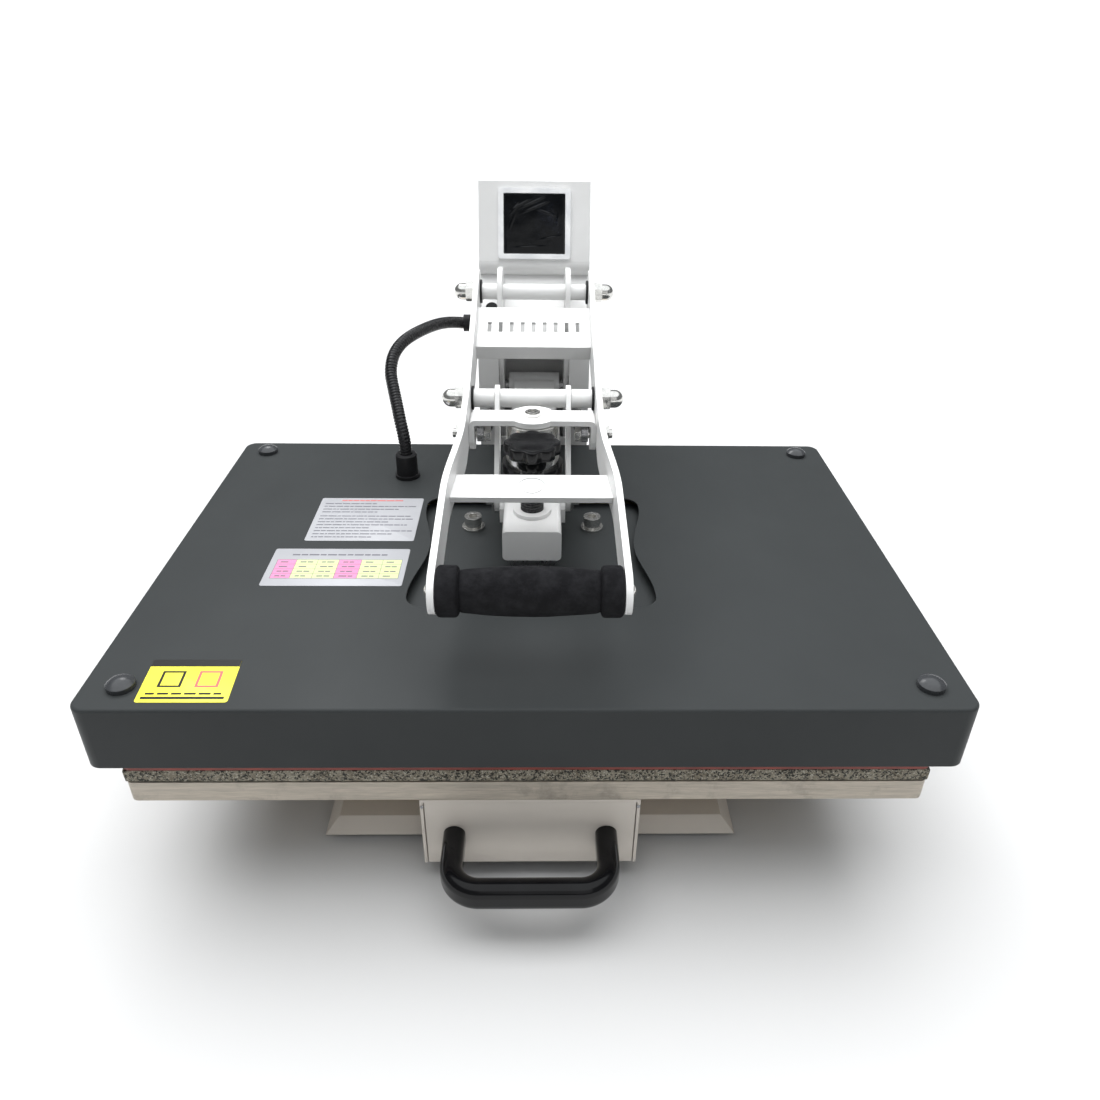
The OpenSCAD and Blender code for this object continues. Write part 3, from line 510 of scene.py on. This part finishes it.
def smooth_path(points, step):
    """Points a step apart along a smooth curve through the given ones."""
    ends = [points[0] * 2 - points[1], *points, points[-1] * 2 - points[-2]]
    substeps = 24
    fine = []
    for i in range(len(points) - 1):
        p0, p1, p2, p3 = ends[i : i + 4]
        for s in range(substeps):
            t = s / substeps
            fine.append(
                0.5 * (2 * p1 + (p2 - p0) * t + (2 * p0 - 5 * p1 + 4 * p2 - p3) * t**2
                       + (3 * p1 - p0 - 3 * p2 + p3) * t**3)
            )
    fine.append(points[-1])
    out, left = [fine[0]], step
    for a, b in zip(fine, fine[1:]):
        length = (b - a).length
        while left <= length:
            out.append(a.lerp(b, left / length))
            left += step
        left -= length
    return out


def tube(path, radius, sides):
    """Rings along a path. radius is a function of distance and angle, in mm."""
    rings, walked = [], 0.0
    across = Vector((0, 0.77, -0.64))  # a start direction; it is carried along the path from here
    for i, point in enumerate(path):
        ahead = (path[min(i + 1, len(path) - 1)] - path[max(i - 1, 0)]).normalized()
        across = (across - across.dot(ahead) * ahead).normalized()
        up = ahead.cross(across)
        walked += (point - path[i - 1]).length if i else 0
        ring = []
        for k in range(sides):
            a = 2 * math.pi * k / sides
            r = radius(walked / MM, a) * MM
            ring.append(point + across * (r * math.cos(a)) + up * (r * math.sin(a)))
        rings.append(ring)
    return skin(rings)


def rounded_box(low, high, radius, cell, wobble=0.0, seed=0):
    """A box of quads with rounded edges, its sides pushed in and out a little by noise."""
    size = high - low
    counts = [max(2, round(s / cell)) for s in size]
    grid = bmesh.new()
    half = size / 2
    for axis in range(3):
        u, v = (axis + 1) % 3, (axis + 2) % 3
        for sign in (-1, 1):
            rows = []
            for i in range(counts[u] + 1):
                row = []
                for j in range(counts[v] + 1):
                    p = Vector((0, 0, 0))
                    p[axis] = sign * half[axis]
                    p[u] = (2 * i / counts[u] - 1) * half[u]
                    p[v] = (2 * j / counts[v] - 1) * half[v]
                    row.append(grid.verts.new(p))
                rows.append(row)
            for i in range(counts[u]):
                for j in range(counts[v]):
                    grid.faces.new((rows[i][j], rows[i + 1][j], rows[i + 1][j + 1], rows[i][j + 1]))
    bmesh.ops.remove_doubles(grid, verts=grid.verts, dist=1e-6)
    inner = half - Vector((radius, radius, radius))
    wobble_scale = 180
    for vert in grid.verts:
        core = Vector([max(-inner[k], min(inner[k], vert.co[k])) for k in range(3)])
        out = vert.co - core
        if out.length > 1e-9:
            vert.co = core + out.normalized() * radius
        if wobble:
            push = noise.noise(vert.co * wobble_scale + Vector((seed, 0, 0))) - 0.6
            vert.co += (out.normalized() if out.length > 1e-9 else Vector((0, 0, 1))) * min(0, push) * wobble
    centre = (low + high) / 2
    grid.verts.index_update()
    verts = [v.co + centre for v in grid.verts]
    faces = [tuple(v.index for v in f.verts) for f in grid.faces]
    grid.free()
    return verts, faces


# ---------------------------------------------------------------- conduit

# The conduit's route, as in part.scad, in millimetres from the screw's axis.
ROUTE = [
    (-64, 288, 308.8), (-76, 288, 308.8), (-85, 286.5, 309.7), (-94.5, 280, 311.4),
    (-103.5, 269.5, 312.8), (-112.5, 256.5, 313.2), (-121, 242.5, 312.8), (-128.3, 230.5, 311.6),
    (-134.5, 220, 309.3), (-139.3, 210.8, 305.8), (-142.6, 202.5, 301.3), (-144.3, 194.3, 295.9),
    (-144.6, 185, 287), (-141.5, 174, 276.5), (-137, 160.5, 263.5), (-133, 148.5, 251),
    (-129.8, 142, 238), (-128.6, 140.3, 226), (-128.6, 140.3, 213), (-128.6, 140.3, 200),
]
CONDUIT_DIA = 12.5
RIB_PITCH = 3.1
RIB_DEPTH = 0.62


def make_conduit():
    """A flexible conduit: smooth near the tower, with its spiral ribs showing further down."""
    path = smooth_path([at(*p) for p in ROUTE], 0.55 * MM)
    fade_start, fade_length = 60, 50

    def radius(walked, angle):
        rib = 0.5 + 0.5 * math.cos(2 * math.pi * walked / RIB_PITCH - angle)
        shown = min(1, max(0.25, (walked - fade_start) / fade_length))
        return CONDUIT_DIA / 2 - RIB_DEPTH * shown * (1 - rib) ** 1.5

    made = piece("flexible_conduit", *tube(path, radius, 32), conduit_skin("conduit_sleeve"), None, smooth=60)
    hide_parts("conduit")
    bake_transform(made)


# ---------------------------------------------------------------- screw and knob


def make_screw():
    """The pressure screw with its real thread, and the plain collar in the thrust socket."""
    low, high, centre = span("pressure_screw")
    radius, pitch, depth = 10.0, 2.5, 1.35
    thread_start, run_out, end_chamfer = 7, 3, 1.2
    sides, rings_per_turn = 48, 10
    height = (high.z - low.z) / MM
    rings = []
    count = int(height / pitch * rings_per_turn)
    for i in range(count + 1):
        z = height * i / count
        ring = []
        for k in range(sides):
            a = 2 * math.pi * k / sides
            phase = (z / pitch - a / (2 * math.pi)) % 1
            cut = 1 - abs(2 * phase - 1)
            cut = min(1, max(0, cut * 1.5 - 0.28))
            taper = min(1, max(0, (z - thread_start) / run_out))
            r = radius - depth * cut * taper - max(0, (z - height + end_chamfer)) * 0.7
            x, y = centre.x + r * MM * math.cos(a), centre.y + r * MM * math.sin(a)
            ring.append(Vector((x, y, low.z + z * MM)))
        rings.append(ring)
    screw = piece("threaded_screw", *skin(rings), LOOKS["screw_black"], "screw", "screw_black", 30)
    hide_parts("pressure_screw")
    collar = turned([(9.5, 0.1), (11.4, 0.1), (12, 0.7), (12, 4.4), (11.4, 5), (9.5, 5)],
                    Vector((centre.x, centre.y, low.z)), closed=True)
    piece("screw_collar", *collar, LOOKS["screw_black"], "screw", "screw_black")


def make_knob():
    """The eight-lobed hand knob: a flat top with a crisp rim, a fluted skirt, and a hub underneath."""
    low, high, centre = span("knob")
    top = (high.z - centre.z) / MM
    bottom = (low.z - centre.z) / MM
    lobes, flute_depth = 8, 0.125
    hub_radius, flute_reach = 13, 9

    def outline(angle, radius):
        wave = 0.5 + 0.5 * math.cos(lobes * angle)
        dip = (1 - wave) ** 1.6
        share = min(1, max(0, (radius - hub_radius) / flute_reach))
        return 1 - flute_depth * dip * share

    profile = [(0.01, top - 0.5), (7, top - 0.45), (13, top - 0.25), (19, top - 0.05), (22.4, top)]
    for i in range(1, 7):
        a = math.pi / 2 * i / 6
        profile.append((22.8 + 1.2 * math.sin(a), top - 1.2 + 1.2 * math.cos(a)))
    profile += [(24, top - 5), (24, top - 9.2), (23.6, top - 9.9), (22.8, top - 10.3), (19, top - 10.4)]
    profile += [(14, top - 10.5), (13.2, top - 11.1), (13, top - 12), (12.7, bottom + 0.8)]
    profile += [(12, bottom), (0.01, bottom)]
    shape = turned(profile, centre, sides=192, outline=outline)
    knob = piece("star_knob", *shape, LOOKS["gloss_black"], "screw", "gloss_black", 40)
    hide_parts("knob")


# ---------------------------------------------------------------- soft parts


def make_grip():
    """Foam grip: thick rolled collars and a barrel between them, slightly uneven."""
    low, high, centre = span("grip_foam")
    half = (high.x - low.x) / 2 / MM
    full = (high.z - low.z) / 2 / MM
    bore, roll = 11.1, 3
    profile = [(bore, -half)]
    for i in range(7):
        a = math.pi / 2 * i / 6
        profile.append((full - roll + roll * math.sin(a), -half + roll - roll * math.cos(a)))
    for i in range(7):
        a = math.pi / 2 * i / 6
        profile.append((full - roll + roll * math.cos(a), -half + 12.5 + roll * math.sin(a)))
    left = len(profile)
    waist = -half + 16.4
    profile.append((full - 4.1, waist))
    steps = 44
    for i in range(steps + 1):
        t = i / steps
        x = waist + 0.5 + (-2 * waist - 1) * t
        profile.append((full - 3.5 + 2.9 * math.sin(math.pi * t) ** 0.8, x))
    profile.append((full - 4.1, -waist))
    profile += [(r, -x) for r, x in reversed(profile[:left])]
    verts, faces = turned(profile, centre, "X", 96, True)
    rough = []
    for v in verts:
        away = Vector((0, v.y - centre.y, v.z - centre.z))
        if away.length > 12 * MM:
            lump = noise.noise(v * 90) * 0.22 + noise.noise(v * 420) * 0.1 - 0.18
            v = v + away.normalized() * min(0.1, lump) * MM
        rough.append(v)
    grip = piece("foam_grip", rough, faces, LOOKS["foam_black"], "lever", "foam_black", 60)
    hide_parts("grip_foam")


def make_pad():
    """The silicone foam pad: cut edges that are a little open and uneven."""
    low, high = span("silicone_pad")[:2]
    shape = rounded_box(low, high, radius=1.4 * MM, cell=3.2 * MM, wobble=0.7 * MM, seed=3)
    pad = piece("speckled_pad", *shape, LOOKS["silicone"], "drawer", "silicone", 70)
    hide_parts("silicone_pad")


# ---------------------------------------------------------------- labels

LABEL_CORNER = 2.2
INK_LOW, INK_HIGH = 0.02, 0.05  # underside and top of the print above its label, in mm

def rounded_outline(x0, x1, y0, y1, skew, radius):
    """Corner-rounded outline of a label, in mm from the screw's axis, its back edge moved by skew."""
    points = []
    for cx, cy, start in ((x1, y1, 0), (x0, y1, 90), (x0, y0, 180), (x1, y0, 270)):
        ix = cx - radius if cx == x1 else cx + radius
        iy = cy - radius if cy == y1 else cy + radius
        for k in range(7):
            a = math.radians(start + 15 * k)
            px, py = ix + radius * math.cos(a), iy + radius * math.sin(a)
            points.append((px + skew * (py - y0) / (y1 - y0), py))
    return points


def print_marks(name, area, skew, rects, heights, look):
    """Thin bars. rects start with left, right, low and high, in shares of the area's width and height."""
    x0, x1, y0, y1 = area
    verts, faces = [], []
    for left, right, bottom, upper in (rect[:4] for rect in rects):
        a = len(verts)
        for share_y in (bottom, upper):
            for share_x in (left, right):
                x = x0 + (x1 - x0) * share_x + skew * share_y
                y = y0 + (y1 - y0) * share_y
                verts += [at(x, y, z) for z in heights]
        faces += [(a, a + 4, a + 6, a + 2), (a + 1, a + 3, a + 7, a + 5), (a, a + 2, a + 3, a + 1),
                  (a + 4, a + 5, a + 7, a + 6), (a, a + 1, a + 5, a + 4), (a + 2, a + 6, a + 7, a + 3)]
    piece(name, verts, faces, look, "platen_head", None, 30)


def label(name, node, area, skew, base, inks, marks):
    """A printed label. marks are (left, right, low, high, ink) in shares of its width and height."""
    low, high = span(node)[:2]
    x0, x1, y0, y1 = area
    top = high.z / MM
    edge_drop, edge_in = 0.08, 0.15
    outline = rounded_outline(x0, x1, y0, y1, skew, LABEL_CORNER)
    verts = [at(x, y, z) for z in (low.z / MM, top - edge_drop, top) for x, y in outline]
    inner = rounded_outline(x0 + edge_in, x1 - edge_in, y0 + edge_in, y1 - edge_in, skew, 2.1)
    size = len(outline)
    verts[2 * size :] = [at(x, y, top) for x, y in inner]
    faces = [tuple(range(size))[::-1], tuple(range(2 * size, 3 * size))]
    for layer in (0, 1):
        for k in range(size):
            m = (k + 1) % size
            faces.append((layer * size + k, layer * size + m, (layer + 1) * size + m, (layer + 1) * size + k))
    made = piece(name, verts, faces, base, "platen_head", None, 30)
    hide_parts(node)
    groups = {}
    for *rect, kind in marks:
        groups.setdefault(kind, []).append(rect)
    for kind, rects in groups.items():
        print_marks(f"{name}_{kind}", area, skew, rects, (top + INK_LOW, top + INK_HIGH), inks[kind])
    return made


def word_bars(row_low, row_high, left, right, seed, kind, word=(0.018, 0.055), gap=0.012):
    """A row of short bars, standing for a line of print with no letters in it."""
    rng = random.Random(seed)
    bars, x = [], left
    while x < right - word[0]:
        width = rng.uniform(*word)
        bars.append((x, min(right, x + width), row_low, row_high, kind))
        x += width + gap
    return bars


# left, right, front and back of each label, in mm from the screw's axis
NOTES_AREA = (-204.5, -106.5, 9, 90.5)
TABLE_AREA = (-225, -107.5, -64, -5)
CAUTION_AREA = (-270.5, -207, -208, -161.5)


def make_labels():
    """The three labels on the cover: bars and fields of ink stand for their print."""
    grey = ink("grey_ink", (0.13, 0.13, 0.15))
    red = ink("faint_red_ink", (0.50, 0.12, 0.12))
    pink = ink("pink_ink", (0.62, 0.22, 0.38))
    green = ink("pale_green_ink", (0.55, 0.62, 0.31))
    black = ink("black_ink", (0.012, 0.012, 0.012), 0.4)
    inks = {"grey": grey, "red": red, "pink": pink, "green": green, "black": black}

    marks = word_bars(0.925, 0.95, 0.2, 0.82, 4, "red", (0.04, 0.09), 0.006)
    for row in range(12):
        y = 0.85 - row * 0.068 - (0.03 if row > 3 else 0)
        right = (0.55, 0.96, 0.78, 0.6, 0.93, 0.95, 0.72, 0.9)[row % 8]
        marks += word_bars(y, y + 0.02, 0.05, right, 20 + row, "grey", (0.02, 0.09), 0.008)
    label("notes_label", "label_notes", NOTES_AREA, 0, LOOKS["label_silver"], inks, marks)

    marks = word_bars(0.81, 0.845, 0.14, 0.86, 7, "grey", (0.04, 0.09), 0.01)
    columns = (0.05, 0.19, 0.345, 0.5, 0.665, 0.82, 0.96)
    rows, row_tall, row_base = 4, 0.125, 0.19
    for r in range(rows):
        low = row_base + r * row_tall
        for c in range(6):
            kind = "pink" if c in (0, 3) else "green"
            left, right = columns[c] + 0.0008, columns[c + 1] - 0.0008
            marks.append((left, right, low + 0.0015, low + row_tall - 0.0015, kind))
    made = label("table_label", "label_table", TABLE_AREA, 0, LOOKS["label_silver"], inks, marks)
    lines = []
    for r in range(rows):
        low = row_base + r * row_tall
        for c in range(6):
            width = columns[c + 1] - columns[c]
            left, right = columns[c] + 0.2 * width, columns[c + 1] - 0.2 * width
            seed = 90 + 7 * r + c
            lines += word_bars(low + 0.045, low + 0.075, left, right, seed, "grey", (0.03, 0.06), 0.008)
    high = row_base + rows * row_tall
    uprights = [(x - 0.0015, x + 0.0015, row_base, high, "grey") for x in columns]
    rules = []
    for r in range(rows + 1):
        y = row_base + r * row_tall
        rules.append((columns[0] - 0.0015, columns[-1] + 0.0015, y - 0.003, y + 0.003, "grey"))
    layers = (("entries", lines, 0.055), ("rules", rules, 0.08), ("uprights", uprights, 0.105))
    for name, rects, lift in layers:
        print_over(f"{made.name}_{name}", "label_table", TABLE_AREA, rects, grey, lift)

    marks = [(0.0, 1.0, 0.83, 1.0, "black"), (0.05, 0.95, 0.07, 0.125, "black")]
    marks += word_bars(0.17, 0.215, 0.08, 0.92, 3, "black", (0.08, 0.16), 0.03)
    for left, right, kind in ((0.17, 0.43, "black"), (0.58, 0.84, "red")):
        low, high = 0.34, 0.72
        marks += [(left, right, low, low + 0.04, kind), (left, right, high - 0.04, high, kind),
                  (left, left + 0.03, low + 0.041, high - 0.041, kind),
                  (right - 0.03, right, low + 0.041, high - 0.041, kind)]
    label("caution_label", "label_caution", CAUTION_AREA, -3, LOOKS["label_yellow"], inks, marks)


def print_over(name, node, area, rects, look, lift):
    """Small marks printed over a label's coloured fields, lift mm above the label."""
    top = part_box(node)[1][2] / MM
    print_marks(name, area, 0, rects, (top + lift, top + lift + 0.02), look)


# ---------------------------------------------------------------- display


def make_display_film():
    """Loose protective film on the display: a thin sheet with a few creases and bubbles."""
    nose = Vector((0, 317.2, 366.6))
    lean = math.radians(21.6)
    up = Vector((0, math.sin(lean), math.cos(lean)))
    out = Vector((0, -math.cos(lean), math.sin(lean)))
    middle = nose + out * 12 + up * 39
    count = 110
    half_w, half_h = 31.8, 29.8
    crease_width = 0.75
    # each crease: its middle across and up the film, its slope, its reach and its height
    creases = [
        (-14, 20, 0.5, 9, 0.55), (-2, 22, 0.42, 11, 0.6), (2, 17.5, 0.4, 12, 0.5), (-20, 17, 0.9, 6, 0.5),
        (12, 12, -0.3, 8, 0.3), (-24, 2, 1.2, 7, 0.25), (18, -14, 0.2, 9, 0.25), (-6, -24, 0.05, 14, 0.3),
        (25, 4, 1.5, 6, 0.3),
    ]
    verts = []
    for layer in (1.95, 1.7):
        for j in range(count + 1):
            for i in range(count + 1):
                u, v = (2 * i / count - 1) * half_w, (2 * j / count - 1) * half_h
                lift = 0.12 * (noise.noise(Vector((u * 0.06, v * 0.06, 3.1))) + 0.6)
                for cu, cv, slope, reach, tall in creases:
                    along = (u - cu) * math.cos(slope) + (v - cv) * math.sin(slope)
                    aside = -(u - cu) * math.sin(slope) + (v - cv) * math.cos(slope)
                    ridge = tall * math.exp(-((aside / crease_width) ** 2))
                    lift += ridge * math.exp(-((along / reach) ** 2) * 1.6)
                rim = max(0.0, min(1.0, (half_w - abs(u)) / 2, (half_h - abs(v)) / 2))
                verts.append(at(*(middle + Vector((u, 0, 0)) + up * v + out * (layer + lift * rim))))
    size = count + 1
    faces = []
    for layer in (0, 1):
        base = layer * size * size
        for j in range(count):
            for i in range(count):
                a = base + j * size + i
                quad = (a, a + 1, a + size + 1, a + size)
                faces.append(quad if layer == 0 else quad[::-1])
    rim = list(range(size)) + [j * size + count for j in range(1, size)]
    rim += [count * size + i for i in range(count - 1, -1, -1)] + [j * size for j in range(count - 1, 0, -1)]
    for a, b in zip(rim, rim[1:] + rim[:1]):
        faces.append((a, a + size * size, b + size * size, b))
    piece("display_film", verts, faces, display_film("film_over_display"), "base", "screen", 80)


# ---------------------------------------------------------------- small hardware


def washer(name, y, z, x0, x1, outer, inner, body):
    """A plain ring about the X axis."""
    edge = 0.25
    profile = [(inner, x0), (outer - edge, x0), (outer, x0 + edge)]
    profile += [(outer, x1 - edge), (outer - edge, x1), (inner, x1)]
    piece(name, *turned(profile, at(0, y, z), "X", 64, True), LOOKS["matte_black"], body, "matte_black")


def pan_screw(name, point, axis, radius, body, look, slot):
    """A pan-head screw with a hexagonal socket."""
    def outline(angle, r):
        if r > radius * 0.52:
            return 1
        return math.cos(math.pi / 6) / math.cos((angle % (math.pi / 3)) - math.pi / 6)

    h = radius * 0.55
    profile = [(radius, 0), (radius, h * 0.35), (radius * 0.93, h * 0.72), (radius * 0.78, h * 0.95),
               (radius * 0.6, h), (radius * 0.5, h), (radius * 0.48, h * 0.9),
               (radius * 0.48, h * 0.25), (0.01, h * 0.25)]
    piece(name, *turned(profile, point, axis, 48, outline=outline), look, body, slot)


def make_hardware():
    """Washers at the pivots, and the screws of the drawer's front and the tower's back."""
    washer_faces = (54.4, 56.4)
    for side in (-1, 1):
        tag = "left" if side < 0 else "right"
        x0, x1 = sorted(side * x for x in washer_faces)
        washer(f"lever_washer_{tag}", 259, 351, x0, x1, 12, 6.2, "base")
        washer(f"link_washer_{tag}", 95, 297, x0, x1, 11, 6.2, "lever")
        corner = at(side * 82.4, -200.6, 84)
        pan_screw(f"drawer_screw_{tag}", corner, "-Y", 1.5, "drawer", LOOKS["steel"], "steel")
        for k, z in enumerate((44, 395)):
            pan_screw(f"back_screw_{tag}_{k}", at(side * 51, 399, z), "Y", 3.2, "base", LOOKS["zinc"], "zinc")


def main():
    make_camera()
    make_conduit()
    make_lights()
    make_floor()
    dress_frame()
    make_screw()
    make_knob()
    make_grip()
    make_pad()
    make_labels()
    make_display_film()
    make_hardware()


main()
